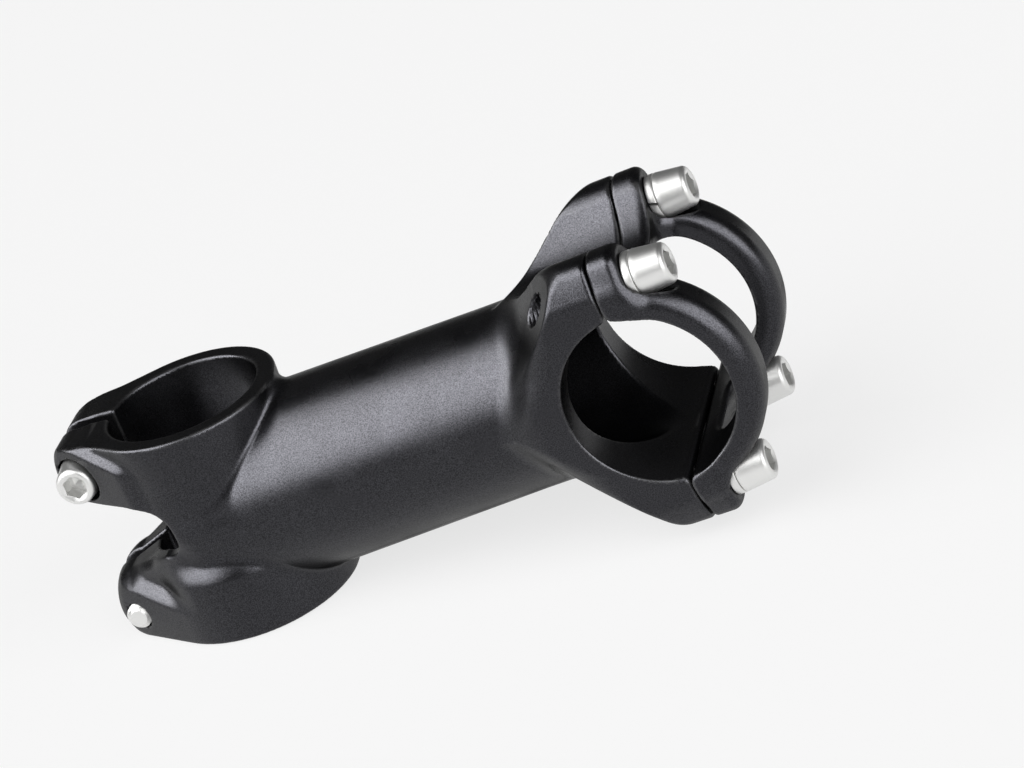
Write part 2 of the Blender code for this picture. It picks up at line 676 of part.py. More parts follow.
def build_washer(name, frame, location, rotation, material):
    """A spring lock washer about its own Z, resting at z = 0, with its slanted split at +X."""
    outer = WASHER_DIAMETER / 2
    inner = HOLE_RADIUS
    profile = [(inner, WASHER_THICKNESS), (outer, WASHER_THICKNESS), (outer, 0), (inner, 0)]
    washer = turned(name, profile, BOLT_STEPS, True, frame, location, rotation)
    split = block(f"split_{name}", (inner / 2, -WASHER_SPLIT / 2, -WASHER_DIAMETER),
                  (WASHER_DIAMETER, WASHER_SPLIT / 2, WASHER_DIAMETER), washer)
    split.location = (0, 0, WASHER_THICKNESS / 2)
    split.rotation_euler = (WASHER_SPLIT_SLANT, 0, 0)
    cut(washer, split)
    return finish_part(washer, material)


def build_fasteners(bolt_material, washer_material):
    """Every bolt with its washer: four on the faceplate and two through the lugs."""
    seat = EXTENSION_LENGTH + FACEPLATE_SEAT
    for name, y, z in ear_places():
        turn = (0, math.pi / 2, 0)
        build_washer(f"faceplate_washer_{name}", EXTENSION_FRAME, (seat + FIT_GAP, y, z), turn,
                     washer_material)
        build_bolt(f"faceplate_bolt_{name}", FACEPLATE_BOLT_LENGTH, EXTENSION_FRAME,
                   (seat + HEAD_STAND_OFF, y, z), turn, bolt_material)
    for name, z, side in pinch_places():
        turn = (-side * math.pi / 2, 0, 0)
        build_washer(f"pinch_washer_{name}", None, (PINCH_X, side * (PINCH_SEAT + FIT_GAP), z), turn,
                     washer_material)
        build_bolt(f"pinch_bolt_{name}", PINCH_BOLT_LENGTH, None,
                   (PINCH_X, side * (PINCH_SEAT + HEAD_STAND_OFF), z), turn, bolt_material)


build_body(metal("satin_black_body", BLACK, BLACK_ROUGHNESS))
build_faceplate(metal("satin_black_faceplate", BLACK, BLACK_ROUGHNESS))
build_fasteners(metal("plated_bolt", BOLT_SILVER, BOLT_ROUGHNESS),
                metal("plated_washer", WASHER_SILVER, WASHER_ROUGHNESS))
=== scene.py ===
import itertools
import json
import math
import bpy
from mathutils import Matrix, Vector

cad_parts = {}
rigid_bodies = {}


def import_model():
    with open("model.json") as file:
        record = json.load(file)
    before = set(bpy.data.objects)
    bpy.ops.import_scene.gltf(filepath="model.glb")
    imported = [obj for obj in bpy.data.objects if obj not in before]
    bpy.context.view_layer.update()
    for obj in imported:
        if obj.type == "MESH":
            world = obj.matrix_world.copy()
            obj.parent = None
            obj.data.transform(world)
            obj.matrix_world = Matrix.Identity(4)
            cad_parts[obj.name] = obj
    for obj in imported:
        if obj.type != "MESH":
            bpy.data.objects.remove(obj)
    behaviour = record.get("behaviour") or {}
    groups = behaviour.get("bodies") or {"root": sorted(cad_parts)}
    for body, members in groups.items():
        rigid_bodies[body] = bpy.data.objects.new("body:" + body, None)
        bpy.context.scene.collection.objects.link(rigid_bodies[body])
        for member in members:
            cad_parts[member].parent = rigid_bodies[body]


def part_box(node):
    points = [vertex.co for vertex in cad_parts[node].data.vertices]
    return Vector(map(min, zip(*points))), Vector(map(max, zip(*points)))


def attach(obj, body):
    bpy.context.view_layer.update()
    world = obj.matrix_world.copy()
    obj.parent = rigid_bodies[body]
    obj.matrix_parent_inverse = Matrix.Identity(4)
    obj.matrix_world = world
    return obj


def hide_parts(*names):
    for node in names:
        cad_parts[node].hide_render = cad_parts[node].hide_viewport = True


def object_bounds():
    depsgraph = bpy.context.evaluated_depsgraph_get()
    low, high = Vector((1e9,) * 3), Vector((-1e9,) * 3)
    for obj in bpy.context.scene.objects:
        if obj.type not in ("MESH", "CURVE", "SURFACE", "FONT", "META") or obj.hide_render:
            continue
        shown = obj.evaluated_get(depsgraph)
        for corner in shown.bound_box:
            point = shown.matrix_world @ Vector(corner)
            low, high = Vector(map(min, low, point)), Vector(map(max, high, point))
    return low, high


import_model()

from types import SimpleNamespace

import bmesh
import bpy
import numpy as np
from mathutils import Matrix, Vector

bl_info = {
    "name": "Handlebar Stem",
    "version": (1, 0, 0),
    "blender": (4, 5, 0),
    "location": "3D View > Sidebar > Stem",
    "description": "Skins a threadless handlebar stem over its solid model, and lights it",
    "category": "Add Mesh",
}

MM = 0.001
CAD_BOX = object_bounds()
THREAD_PITCH = 0.8 * MM
HEAD_HEIGHT = 5.9 * MM
SOCKET_MOUTH = 2.75 * MM
HEAD_STANDOFF = 1.5 * MM
WASHER_STANDOFF = 0.04 * MM
FACEPLATE_BOLT_LENGTH = 16 * MM
PINCH_BOLT_LENGTH = 18 * MM
BODY_FACES = 190000
FACEPLATE_FACES = 110000


def length(name, description, millimetres):
    """A length property whose default is given in millimetres."""
    return bpy.props.FloatProperty(name=name, description=description,
                                   default=millimetres * MM, unit="LENGTH", precision=5)


def share(name, description, default):
    """A property between nothing and everything."""
    return bpy.props.FloatProperty(name=name, description=description, default=default,
                                   min=0.0, max=1.0, subtype="FACTOR")


def power(name, description, watts):
    return bpy.props.FloatProperty(name=name, description=description, default=watts, unit="POWER")


def colour(name, description, default):
    return bpy.props.FloatVectorProperty(name=name, description=description, default=default,
                                         size=3, min=0.0, max=1.0, subtype="COLOR")


class StemSizes(bpy.types.PropertyGroup):
    """The stem's main sizes, as in its solid model."""
    steerer_diameter: length("Steerer", "Bore of the steerer clamp", 28.6)
    bar_diameter: length("Handlebar", "Bore of the bar clamp", 31.8)
    extension_length: length("Extension", "Steerer's axis to bar's axis", 90.0)
    rise: bpy.props.FloatProperty(name="Rise", description="Slope of the extension",
                                  default=math.radians(7.0), unit="ROTATION")
    collar_above: length("Collar above", "Collar's top above the extension's axis", 22.4)
    collar_below: length("Collar below", "Collar's bottom below the extension's axis", 18.4)
    clamp_width: length("Clamp width", "Width of the bar clamp", 40.8)
    skin_step: length("Skin step", "Spacing of the grid that the body's skin is drawn on", 0.45)
    plate_step: length("Plate step", "Spacing of the grid that the faceplate's skin is drawn on",
                       0.36)


class StemFinish(bpy.types.PropertyGroup):
    """Colours and gloss of the finishes."""
    black: colour("Black", "Satin black skin", (0.0025, 0.0025, 0.0027))
    black_roughness: share("Black roughness", "Roughness of the satin black", 0.30)
    # Lighter grey on sharp edges: partly rubbed wear, partly a painted edge highlight
    wear_and_edge_highlight: colour("Worn", "Rubbed edges of the black skin", (0.055, 0.055, 0.055))
    silver: colour("Silver", "Plated bolts", (0.64, 0.64, 0.63))
    silver_roughness: share("Silver roughness", "Roughness of the bolts' plating", 0.5)
    washer_silver: colour("Washer silver", "Plated washers", (0.64, 0.64, 0.63))
    washer_roughness: share("Washer roughness", "Roughness of the washers' plating", 0.56)


class StemStage(bpy.types.PropertyGroup):
    """Floor and lights."""
    floor: colour("Floor", "Floor and backdrop", (0.80, 0.80, 0.80))
    key_power: power("Softbox", "Power of the wide softbox", 370.0)
    key_card_power: power("Card", "Power of the card that only gloss shows", 560.0)
    side_power: power("Side softbox", "Power of the softbox at the bar's side", 90.0)
    side_card_power: power("Side card", "Power of the side's card", 163.0)
    sky: share("Sky", "Strength of the light from the horizon", 0.07)


def stem_layout():
    """Every size that the skins are drawn from, in metres."""
    sizes = bpy.context.scene.stem_sizes
    s = SimpleNamespace()
    s.steerer_radius = sizes.steerer_diameter / 2
    s.bar_radius = sizes.bar_diameter / 2
    s.length = sizes.extension_length
    s.cos, s.sin = math.cos(sizes.rise), math.sin(sizes.rise)
    s.top, s.bottom = sizes.collar_above, -sizes.collar_below
    s.half_width = sizes.clamp_width / 2
    s.collar_radius = s.steerer_radius + 3.6 * MM
    s.pinch_x = -(s.steerer_radius + 6.2 * MM)
    s.pinch_upper_z = s.top - 6.8 * MM
    s.pinch_lower_z = s.bottom + 4.8 * MM
    s.pinch_seat = 5.2 * MM
    s.lug_radius = 8.6 * MM
    s.lug_behind = 5.9 * MM
    s.lug_x = s.pinch_x - s.lug_behind + s.lug_radius
    s.slit_half = 1.5 * MM
    s.hole_radius = 2.8 * MM
    s.thread_radius = 2.54 * MM
    s.tapped_end = -10.5 * MM
    s.tapped_radius = 2.42 * MM
    s.pocket_radius = 4.5 * MM
    s.ear_y = s.half_width - 5.65 * MM
    s.ear_z = s.bar_radius + 4.1 * MM
    s.ear_crest = 6.4 * MM
    s.ear_back = -10.95 * MM
    s.ear_back_out, s.ear_back_up = 0.53, 0.85
    s.shoulder_z = s.ear_z + 0.5 * MM
    s.shoulder_lean = math.tan(math.radians(23))
    s.valley_z = s.bar_radius + 2.0 * MM
    s.parting = -1.4 * MM
    s.plate_back = -1.1 * MM
    s.plate_seat = 4.2 * MM
    s.clamped_gap = 2.6 * MM
    s.arch_radius = s.bar_radius + 4.8 * MM
    return s


def smooth_step(value):
    value = np.clip(value, 0.0, 1.0)
    return value * value * (3 - 2 * value)


def ease(value, start, end):
    """From 0 at a start to 1 at an end, both in millimetres, and level beyond them."""
    return smooth_step((value / MM - start) / (end - start))


def soft_min(a, b, width):
    near = np.maximum(width - np.abs(a - b), 0.0) / width
    return np.minimum(a, b) - near * near * width / 4


def soft_max(a, b, width):
    return -soft_min(-a, -b, width)


def round_meet(a, b, radius):
    """What two forms share, its outer edges rounded."""
    return np.minimum(-radius, np.maximum(a, b)) + np.hypot(np.maximum(a + radius, 0),
                                                            np.maximum(b + radius, 0))


def round_join(a, b, radius):
    """Two forms together, with a fillet between them."""
    return -round_meet(-a, -b, radius)


def round_cut(a, b, radius):
    """The first form less the second, its new edges rounded."""
    return round_meet(a, -b, radius)


def polygon_distance(px, py, points):
    """Signed distance to a closed outline, below zero inside."""
    nearest = np.inf
    inside = False
    for (ax, ay), (bx, by) in zip(points, points[1:] + points[:1]):
        ex, ey = bx - ax, by - ay
        wx, wy = px - ax, py - ay
        t = np.clip((wx * ex + wy * ey) / (ex * ex + ey * ey), 0, 1)
        nearest = np.minimum(nearest, (wx - ex * t) ** 2 + (wy - ey * t) ** 2)
        if ay != by:
            crosses = ((ay > py) != (by > py)) & (px < ex * (py - ay) / ey + ax)
            inside = inside ^ crosses
    return np.where(inside, -1.0, 1.0) * np.sqrt(nearest)


def ellipse_arc(centre, radii, start, end, steps):
    """Points on an elliptical arc between two angles, both ends included."""
    return [(centre[0] + radii[0] * math.cos(a), centre[1] + radii[1] * math.sin(a))
            for a in np.linspace(start, end, steps + 1)]


def lug_outline(s):
    """Side view of the lugs: two lobes with the round-ended notch between them, as (x, z)."""
    roof_below, roof_drop, roof_reach = 5.4 * MM, 7.2 * MM, 8.5 * MM
    floor_reach, floor_drop = 4.5 * MM, 3.8 * MM
    apex_x, apex_z = -4.2 * MM, s.pinch_upper_z - roof_below - roof_drop
    over_bolt = s.top - s.pinch_upper_z
    lower_lobe = (6.5 * MM, 7.6 * MM)
    ahead = 3 * s.collar_radius
    margin = s.collar_radius
    # The outline comes down to the top face on a slant, so that the lug's end rolls off softly
    slant_reach, slant_rise = 12 * MM, 2 * MM
    points = [(ahead, s.bottom - margin), (ahead, s.top + margin),
              (s.pinch_x + slant_reach, s.top + slant_rise)]
    points += ellipse_arc((s.pinch_x, s.pinch_upper_z), (s.lug_behind, over_bolt),
                          math.pi / 2, math.pi + math.asin(roof_below / over_bolt), 16)
    points += ellipse_arc((apex_x - roof_reach, apex_z), (roof_reach, roof_drop),
                          math.pi / 2, 0, 12)
    points += ellipse_arc((apex_x - floor_reach, apex_z), (floor_reach, floor_drop),
                          0, -math.pi / 2, 10)[1:]
    points += ellipse_arc((s.pinch_x, s.pinch_lower_z), lower_lobe,
                          math.pi / 2, math.pi * 1.35, 16)
    points.append((s.pinch_x, s.bottom - margin))
    return points


def curve(start, corner, end, steps):
    """Points on the curve that leaves its start towards a corner and ends as if from there."""
    start, corner, end = np.array(start), np.array(corner), np.array(end)
    t = np.linspace(0, 1, steps)[:, None]
    points = (1 - t) ** 2 * start + 2 * t * (1 - t) * corner + t ** 2 * end
    return points[:, 0], points[:, 1]


def clamp_radii(s):
    """Front view of the bar clamp, from its side to its top, as angles and radii."""
    half_ear = s.half_width - s.ear_y
    ear_top = s.ear_z + s.ear_crest
    soft, shoulder_rise = 1.3 * MM, 4.0 * MM

    def ear(angle):
        return s.ear_y + half_ear * np.cos(angle), s.ear_z + s.ear_crest * np.sin(angle)

    def misfit(angle):
        """Slope of the ear at an angle less that of the valley which meets it there."""
        y, z = ear(angle)
        return -s.ear_crest / (half_ear * np.tan(angle)) - 2 * (z - s.valley_z) / y

    def shoulder(rise):
        return s.half_width - s.shoulder_lean * rise, s.shoulder_z + rise

    low, high = math.pi / 2, math.pi
    for _ in range(40):
        middle = (low + high) / 2
        low, high = (middle, high) if misfit(middle) < 0 else (low, middle)
    side_z = np.linspace(0, s.shoulder_z - soft, 200, endpoint=False)
    foot_y, foot_z = curve((s.half_width, s.shoulder_z - soft), shoulder(0), shoulder(soft), 60)
    crest_y, crest_z = curve(shoulder(shoulder_rise), shoulder(ear_top - s.shoulder_z),
                             (s.ear_y, ear_top), 200)
    ear_y, ear_z = ear(np.linspace(math.pi / 2, low, 200)[1:])
    valley_y = np.linspace(ear_y[-1], 0, 300)[1:]
    valley_z = s.valley_z + (ear_z[-1] - s.valley_z) * (valley_y / ear_y[-1]) ** 2
    y = np.concatenate([np.full(200, s.half_width), foot_y, crest_y, ear_y, valley_y])
    z = np.concatenate([side_z, foot_z, crest_z, ear_z, valley_z])
    return np.arctan2(z, y), np.hypot(y, z)


def body_field(s):
    """The forged body's field: below zero in the metal, and about a distance near its face."""
    outline = lug_outline(s)
    angles, radii = clamp_radii(s)
    rear_reach = -s.lug_x
    tube_radius, tube_taper = 17.45 * MM, 0.6 * MM
    waist_depth, flare_depth, boss_depth, fold_depth = 0.75 * MM, 1.95 * MM, 2.0 * MM, 1.4 * MM
    upper_swell, lower_swell = 0.7 * MM, 0.8 * MM

    def plan(x, y, z):
        """Distance to the hull of the steerer's circle and the lugs', which swells at the bolts."""
        over = z - s.pinch_upper_z + 0.6 * MM
        upper = upper_swell * np.where(over > 0, ease(over, 6, 0), ease(over, -8, 0))
        lower = lower_swell * ease(np.abs(z - s.pinch_lower_z), 7, 0)
        lug_radius = s.lug_radius + upper + lower
        lean = (s.collar_radius - lug_radius) / rear_reach
        side = np.sqrt(1 - lean * lean)
        across, behind = np.abs(y), -x
        along = behind * side - across * lean
        round_front = np.hypot(across, behind) - s.collar_radius
        round_rear = np.hypot(across, behind - rear_reach) - lug_radius
        flank = across * side + behind * lean - s.collar_radius
        rear = np.where(along > side * rear_reach, round_rear, flank)
        return np.where(along < 0, round_front, rear)

    def extension(u, y, n):
        """The tapered tube, swelling into the eared cradle."""
        from_bar = u - s.length
        tube = tube_radius - np.interp(u / MM, (20, 60), (0, tube_taper))
        theta = np.arctan2(np.abs(n), np.abs(y))
        clamp = np.interp(theta, angles, radii)
        sunk = tube - 3.5 * MM
        swell = sunk + (clamp - sunk) * ease(from_bar, -37, -20)
        # The ears' backs are flats that lean outward and up
        back = from_bar - s.ear_back + s.ear_back_out * s.half_width + s.ear_back_up * s.ear_z
        back = back / (s.ear_back_out * np.cos(theta) + s.ear_back_up * np.sin(theta))
        at_crest = ease(np.abs(n), 23, 27)
        at_side = smooth_step((0.70 - np.sin(theta)) / 0.25)
        edge = (0.7 + 2.0 * at_crest + 5.5 * at_side) * MM
        ears = soft_min(swell, back, edge)
        rounding = (0.05 + 3.5 * ease(from_bar, 0, -20)) * MM
        return np.hypot(y, n) - soft_max(tube, ears, rounding)

    def field(x, y, z):
        u, n = x * s.cos + z * s.sin, z * s.cos - x * s.sin
        from_bar = u - s.length
        waist = waist_depth * ease(s.top - z, 0, 12)
        # Behind the notch the skirt's flare gives way to a boss round the lower bolt
        flare = flare_depth * ease(z, -1.5, -6.7)
        boss_z = (-8.9 - 0.3 * (x / MM + 13)) * MM
        boss = boss_depth * ease(z - boss_z, 2.1, -2.1)
        skirt = flare + (boss - flare) * ease(x, -5, -13)
        # A fold over the upper bolt
        fold_z = (19.5 - 0.4 * (x / MM + 11.2)) * MM
        fold = fold_depth * ease(z - fold_z, 1.5, -1.5) * ease(x, -6, -11) * ease(z, 2, 7)
        wall = plan(x, y, z) - (skirt - waist + fold)
        collar = round_meet(wall, np.maximum(z - s.top, s.bottom - z), 0.5 * MM)
        # The extension ends in a flattened ball inside the collar
        end = np.hypot(np.hypot(y, n), 1.7 * u) - tube_radius
        tube = np.where(u < 0, end, extension(u, y, n))
        on_top = ease(z, 8, 16) * ease(np.abs(y), 9, 0)
        halfway = ease(z, 10, 3) * ease(z, -1, 4)
        body = round_join(collar, tube, (0.8 + 2.4 * on_top + 2.0 * halfway) * MM)
        # The lugs' side view, with its notch, cuts all that stands behind the steerer's axis
        profile = np.where(x < 0, polygon_distance(x, z, outline), -s.length)
        behind = ease(x, -17, -23)
        low = ease(z, 2, -4)
        at_notch = ease(x, -9, -14)
        edge = (0.7 + 1.5 * low * at_notch + (0.5 + 1.1 * low) * behind) * MM
        body = round_meet(body, profile, edge)
        body = round_meet(body, from_bar - s.parting, 0.7 * MM)
        # The hollow extension, then the two bores
        around = np.hypot(y, n)
        hollow_radius = np.interp(from_bar / MM, (-31.7, -1.7), (13.3, 15.2)) * MM
        hollow = round_meet(around - hollow_radius, s.steerer_radius + 6 * MM - u, 4 * MM)
        body = round_cut(body, hollow, 0.4 * MM)
        body = round_cut(body, np.hypot(x, y) - s.steerer_radius, 0.5 * MM)
        at_parting = ease(s.parting - from_bar, 3, 0)
        body = round_cut(body, np.hypot(from_bar, n) - s.bar_radius, (0.4 + 0.9 * at_parting) * MM)
        # The slit, then the holes
        slit = np.maximum(np.abs(y) - s.slit_half, x + s.steerer_radius / 2)
        body = round_cut(body, slit, 0.45 * MM)
        ear_hole = np.hypot(np.abs(y) - s.ear_y, np.abs(n) - s.ear_z)
        ear_hole = ear_hole - np.where(from_bar < s.tapped_end, s.tapped_radius, s.hole_radius)
        body = round_cut(body, np.maximum(ear_hole, -from_bar - 30 * MM), 0.25 * MM)
        for pinch_z, facing in ((s.pinch_upper_z, -1), (s.pinch_lower_z, 1)):
            off_axis = np.hypot(x - s.pinch_x, z - pinch_z)
            hole = np.where(facing * y > 0, s.hole_radius, s.thread_radius)
            body = round_cut(body, off_axis - hole, 0.2 * MM)
            pocket = np.maximum(off_axis - s.pocket_radius, s.pinch_seat - facing * y)
            body = round_cut(body, pocket, 0.25 * MM)
        return body

    return field


def faceplate_field(s):
    """The field of the faceplate, the windowed front half of the bar clamp."""
    angles, radii = clamp_radii(s)
    window_cos, window_sin = math.cos(math.radians(69)), math.sin(math.radians(69))
    arch_inner, arch_outer = s.half_width - 9.9 * MM, s.half_width - 0.2 * MM

    def field(x, y, z):
        u, n = x * s.cos + z * s.sin, z * s.cos - x * s.sin
        from_bar = u - s.length
        from_plate = from_bar + s.clamped_gap
        off_axis = np.hypot(from_plate, n)
        theta = np.arctan2(np.abs(n), np.abs(y))
        ears = np.hypot(y, n) - np.interp(theta, angles, radii)
        ears = round_meet(ears, from_bar - s.plate_seat, 1.8 * MM)
        arch_side = np.maximum(np.abs(y) - arch_outer, arch_inner - np.abs(y))
        arch = round_meet(off_axis - s.arch_radius, arch_side, 3.4 * MM)
        plate = round_join(ears, arch, 3.0 * MM)
        plate = round_meet(plate, s.plate_back - from_bar, 0.7 * MM)
        at_parting = ease(from_bar - s.plate_back, 3, 0)
        plate = round_cut(plate, off_axis - s.bar_radius, (0.4 + 1.2 * at_parting) * MM)
        window = round_meet(np.abs(y) - arch_inner - 0.1 * MM,
                            np.abs(n) * window_cos - from_plate * window_sin, 5.0 * MM)
        plate = round_cut(plate, window, 0.9 * MM)
        bolt = np.hypot(np.abs(y) - s.ear_y, np.abs(n) - s.ear_z)
        spotface = np.maximum(bolt - s.pocket_radius, s.plate_seat - from_bar)
        plate = round_cut(plate, spotface, 0.35 * MM)
        return round_cut(plate, bolt - s.hole_radius, 0.35 * MM)

    return field


def slope(field, points, reach=0.06 * MM):
    """Gradient of a field at points, by differences."""
    gradient = np.empty_like(points)
    for axis in range(3):
        step = np.zeros(3)
        step[axis] = reach
        gradient[:, axis] = field(*(points + step).T) - field(*(points - step).T)
    return gradient / (2 * reach)


def bend(field, points, reach=0.15 * MM):
    """How sharply a field's surface turns at points: one over the radius of a rounded edge."""
    total = -6 * field(*points.T)
    for axis, way in itertools.product(range(3), (-reach, reach)):
        step = np.zeros(3)
        step[axis] = way
        total = total + field(*(points + step).T)
    return total / reach ** 2


def settle(field, points, step, rounds):
    """Move points onto a field's zero surface."""
    for _ in range(rounds):
        gradient = slope(field, points)
        steepness = np.maximum((gradient ** 2).sum(1), 0.05)[:, None]
        move = field(*points.T)[:, None] * gradient / steepness
        points = points - np.clip(move, -step / 2, step / 2)
    return points


def skin(field, low, high, step):
    """Mesh a field's zero surface with one point in each grid cell that it passes through."""
    axes = [np.arange(a, b + step, step) for a, b in zip(low, high)]
    value = field(*np.meshgrid(*axes, indexing="ij", sparse=True))
    inside = value < 0
    cell_shape = tuple(n - 1 for n in value.shape)
    corners = list(itertools.product((0, 1), repeat=3))
    count = np.zeros(cell_shape, np.int8)
    for i, j, k in corners:
        count += inside[i:i + cell_shape[0], j:j + cell_shape[1], k:k + cell_shape[2]]
    mixed = (count > 0) & (count < 8)
    cells = np.argwhere(mixed)
    number = np.full(cell_shape, -1, np.int32)
    number[mixed] = np.arange(len(cells))
    total = np.zeros((len(cells), 3))
    hits = np.zeros(len(cells))
    for a, b in itertools.combinations(corners, 2):
        if sum(abs(p - q) for p, q in zip(a, b)) != 1:
            continue
        from_value = value[tuple((cells + a).T)]
        to_value = value[tuple((cells + b).T)]
        crossed = (from_value < 0) != (to_value < 0)
        t = np.where(crossed, from_value / np.where(crossed, from_value - to_value, 1), 0)
        total += crossed[:, None] * (np.array(a) + t[:, None] * (np.array(b) - np.array(a)))
        hits += crossed
    points = np.array([axis[0] for axis in axes]) + step * (cells + total / hits[:, None])
    quads = []
    for axis in range(3):
        first, second = (axis + 1) % 3, (axis + 2) % 3
        ahead = np.take(inside, range(1, inside.shape[axis]), axis)
        here = np.take(inside, range(inside.shape[axis] - 1), axis)
        for places, order in ((here & ~ahead, 1), (~here & ahead, -1)):
            edge = np.argwhere(places)
            ring = []
            for da, db in ((-1, -1), (0, -1), (0, 0), (-1, 0))[::order]:
                cell = edge.copy()
                cell[:, first] += da
                cell[:, second] += db
                ring.append(number[tuple(cell.T)])
            quads.append(np.stack(ring, 1))
    return settle(field, points, step, 3), np.concatenate(quads)


def mesh_from_arrays(name, points, faces):
    """A mesh of equal-sided faces, given as arrays."""
    mesh = bpy.data.meshes.new(name)
    sides = faces.shape[1]
    mesh.vertices.add(len(points))
    mesh.vertices.foreach_set("co", np.ascontiguousarray(points, np.float32).ravel())
    mesh.loops.add(faces.size)
    mesh.loops.foreach_set("vertex_index", np.ascontiguousarray(faces, np.int32).ravel())
    mesh.polygons.add(len(faces))
    mesh.polygons.foreach_set("loop_start", np.arange(0, faces.size, sides, dtype=np.int32))
    mesh.update(calc_edges=True)
    mesh.validate()
    return mesh


def mesh_from_lists(name, points, faces):
    mesh = bpy.data.meshes.new(name)
    mesh.from_pydata(points, [], faces)
    return mesh


def link(name, mesh):
    piece = bpy.data.objects.new(name, mesh)
    bpy.context.scene.collection.objects.link(piece)
    return piece


def apply_modifiers(piece):
    """Give a piece the mesh that its modifiers make."""
    bpy.context.view_layer.update()
    evaluated = piece.evaluated_get(bpy.context.evaluated_depsgraph_get())
    mesh = bpy.data.meshes.new_from_object(evaluated)
    old = piece.data
    piece.modifiers.clear()
    piece.data = mesh
    bpy.data.meshes.remove(old)


def skinned_piece(name, field, node, step, faces_kept):
    """A smooth piece from a field, drawn over a node's box, with the field's own normals."""
    low, high = (np.array(corner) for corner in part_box(node))
    margin = 2.5 * step
    points, quads = skin(field, low - margin, high + margin, step)
    piece = link(name, mesh_from_arrays(name, points, quads))
    if 2 * len(quads) > faces_kept:
        thin = piece.modifiers.new("thin", "DECIMATE")
        thin.ratio = faces_kept / (2 * len(quads))
        apply_modifiers(piece)
    mesh = piece.data
    points = np.empty(len(mesh.vertices) * 3, np.float32)
    mesh.vertices.foreach_get("co", points)
    points = settle(field, points.reshape(-1, 3).astype(float), step / 4, 1)
    mesh.vertices.foreach_set("co", points.astype(np.float32).ravel())
    normals = slope(field, points)
    normals /= np.maximum(np.linalg.norm(normals, axis=1), 1e-9)[:, None]
    mesh.shade_smooth()
    mesh.normals_split_custom_set_from_vertices(normals.tolist())
    # Edges of a radius below about half a millimetre are marked, for rubbed wear and for a painted
    # edge highlight
    sharpness = smooth_step((bend(field, points) * MM - 1.5) / 0.9)
    rubbed_and_highlit = mesh.attributes.new("rubbed_and_highlit", "FLOAT", "POINT")
    rubbed_and_highlit.data.foreach_set("value", sharpness.astype(np.float32))
    mesh.update()
    return piece


def ring_faces(rows, sides):
    """The quads between closed rings of points, ring after ring."""
    faces = []
    for start in range(0, (rows - 1) * sides, sides):
        for i in range(sides):
            j = (i + 1) % sides
            faces.append((start + i, start + j, start + sides + j, start + sides + i))
    return faces


def lathe(name, rows, sides):
    """Turn rows of (radius, height) about Z; a row's radius may also be an array over the sides."""
    angles = np.linspace(0, 2 * math.pi, sides, endpoint=False)
    rings = []
    for radius, height in rows:
        radius = np.broadcast_to(radius, sides)
        rings.append(np.stack([radius * np.cos(angles), radius * np.sin(angles),
                               np.full(sides, height)], 1))
    points = np.concatenate(rings + [[(0, 0, rows[0][1])], [(0, 0, rows[-1][1])]])
    faces = ring_faces(len(rows), sides)
    first, last = len(rows) * sides, len(rows) * sides + 1
    for i in range(sides):
        j = (i + 1) % sides
        faces.append((first, j, i))
        faces.append((last, (len(rows) - 1) * sides + i, (len(rows) - 1) * sides + j))
    return mesh_from_lists(name, points.tolist(), faces)


def bolt_mesh(name, shank_length):
    """An M5 socket bolt about Z, its head's underside at z = 0 and its threaded shank below."""
    sides = 72
    head, base, end = HEAD_HEIGHT, 4.2 * MM, 3.55 * MM
    rim, foot = 1.0 * MM, 0.35 * MM
    pitch, major, minor = THREAD_PITCH, 2.46 * MM, 2.02 * MM
    tip, thread_top = -shank_length, -1.2 * MM
    turn = np.linspace(0, 1, sides, endpoint=False)

    def thread(z):
        """Radius round the shank at a height: a ridge that climbs, and fades at both ends."""
        phase = (z / pitch - turn) % 1.0
        ridge = np.clip(1.35 * (1 - np.abs(2 * phase - 1)) - 0.1, 0, 1)
        fade = smooth_step((z - tip) / (1.1 * pitch)) * smooth_step((thread_top - z) / pitch)
        runout = minor + (major - minor) * smooth_step((z - thread_top) / pitch + 1)
        return np.maximum(minor + (major - minor) * ridge * fade, runout - 0.02 * MM)

    rows = [(1.55 * MM, tip), (minor - 0.05 * MM, tip + 0.4 * MM)]
    for z in np.arange(tip + 0.5 * MM, thread_top, pitch / 8):
        rows.append((thread(z), z))
    rows += [(major, thread_top + 0.1 * MM), (major, -0.3 * MM), (major + 0.25 * MM, 0)]
    rows += [(base - foot, 0)]
    rows += [(base - foot + foot * math.sin(a), foot - foot * math.cos(a))
             for a in np.linspace(0, math.pi / 2, 5)[1:]]
    taper = (base - end) / (head - foot)
    rows += [(base - taper * (z - foot), z) for z in np.linspace(foot, head - rim, 7)[1:]]
    shoulder = base - taper * (head - rim - foot)
    rows += [(shoulder - rim + rim * math.cos(a), head - rim + rim * math.sin(a))
             for a in np.linspace(0, math.pi / 2, 9)[1:]]
    rows += [(SOCKET_MOUTH, head), (2.55 * MM, head - 0.02 * MM)]
    return lathe(name, rows, sides)


